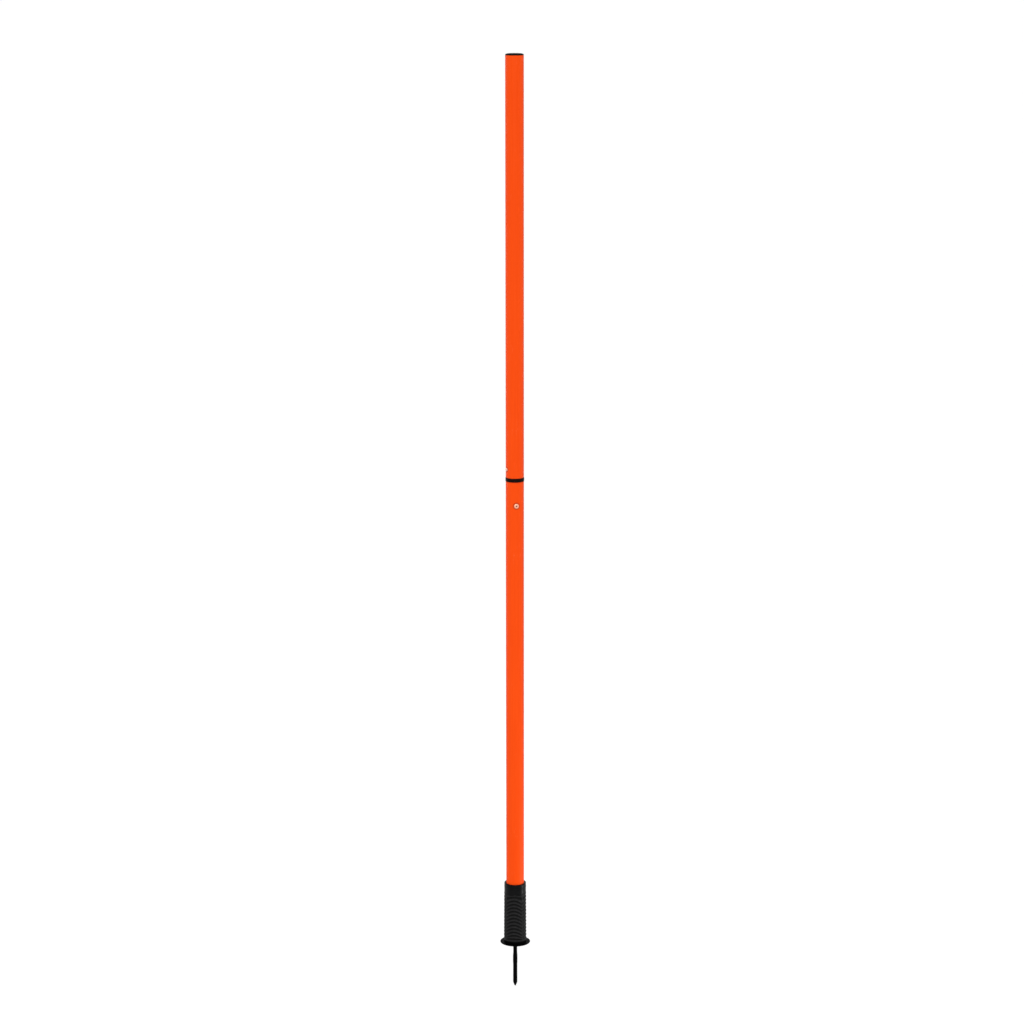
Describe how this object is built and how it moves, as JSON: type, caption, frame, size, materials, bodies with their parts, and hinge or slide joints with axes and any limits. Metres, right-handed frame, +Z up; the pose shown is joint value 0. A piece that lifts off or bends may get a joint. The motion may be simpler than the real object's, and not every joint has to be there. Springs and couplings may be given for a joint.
{
  "type": "slalom pole",
  "caption": "Tall orange slalom pole in sections joined by a snap-button coupler, on a rubber-covered sprung foot with a disc plate and a screw-in ground spike.",
  "frame": {"origin": "on the pole's axis at the underside of the foot plate, which is the level of the ground when the spike is pushed home", "axes": "+Z up along the pole, -Y the front in the picture, where the coupler's rivet faces, +X to the right"},
  "size_m": [0.054, 0.054, 1.6795],
  "materials": {
    "orange_plastic": "satin fluorescent orange extruded plastic",
    "black_plastic": "smooth moulded black plastic",
    "black_rubber": "matte ribbed moulded rubber",
    "black_paint": "satin black powder coat on steel",
    "grey_nylon": "moulded dark grey nylon",
    "zinc_steel": "bright zinc plate",
    "spring_steel": "oiled drawn spring wire and strip",
    "rivet_aluminium": "plain drawn aluminium",
    "button_nickel": "bright nickel plate"
  },
  "bodies": {
    "base": {"ground_spike": "black_paint", "foot_plate": "black_paint", "base_hub": "black_paint", "lock_washer": "zinc_steel", "lock_nut": "zinc_steel"},
    "flex": {"flex_spring": "spring_steel", "grip_sleeve": "black_rubber"},
    "pole": {"tube_plug": "zinc_steel", "plug_pin": "spring_steel", "lower_tube": "orange_plastic", "coupler_tube": "grey_nylon", "coupler_collar": "black_plastic", "coupler_rivet": "rivet_aluminium", "rivet_mandrel": "zinc_steel", "button_spring": "spring_steel", "upper_tube": "orange_plastic", "top_cap": "black_plastic"},
    "button": {"snap_button": "button_nickel"}
  },
  "joints": [
    {"name": "flex_front_back", "type": "hinge", "parent": "base", "child": "flex", "pos_m": [0, 0, 0.0285], "axis": [1, 0, 0], "range_deg": [-60, 60], "stiffness_Nm_per_rad": 12, "deforming": ["flex_spring", "grip_sleeve"]},
    {"name": "flex_left_right", "type": "hinge", "parent": "flex", "child": "pole", "pos_m": [0, 0, 0.0661], "axis": [0, 1, 0], "range_deg": [-60, 60], "stiffness_Nm_per_rad": 12, "deforming": ["flex_spring", "grip_sleeve"]},
    {"name": "button_press", "type": "slide", "parent": "pole", "child": "button", "axis": [0.8949, 0.4462, 0], "range_m": [0, 0.004], "stiffness_N_per_m": 2000, "springref_m": -0.001, "deforming": ["button_spring"]}
  ]
}
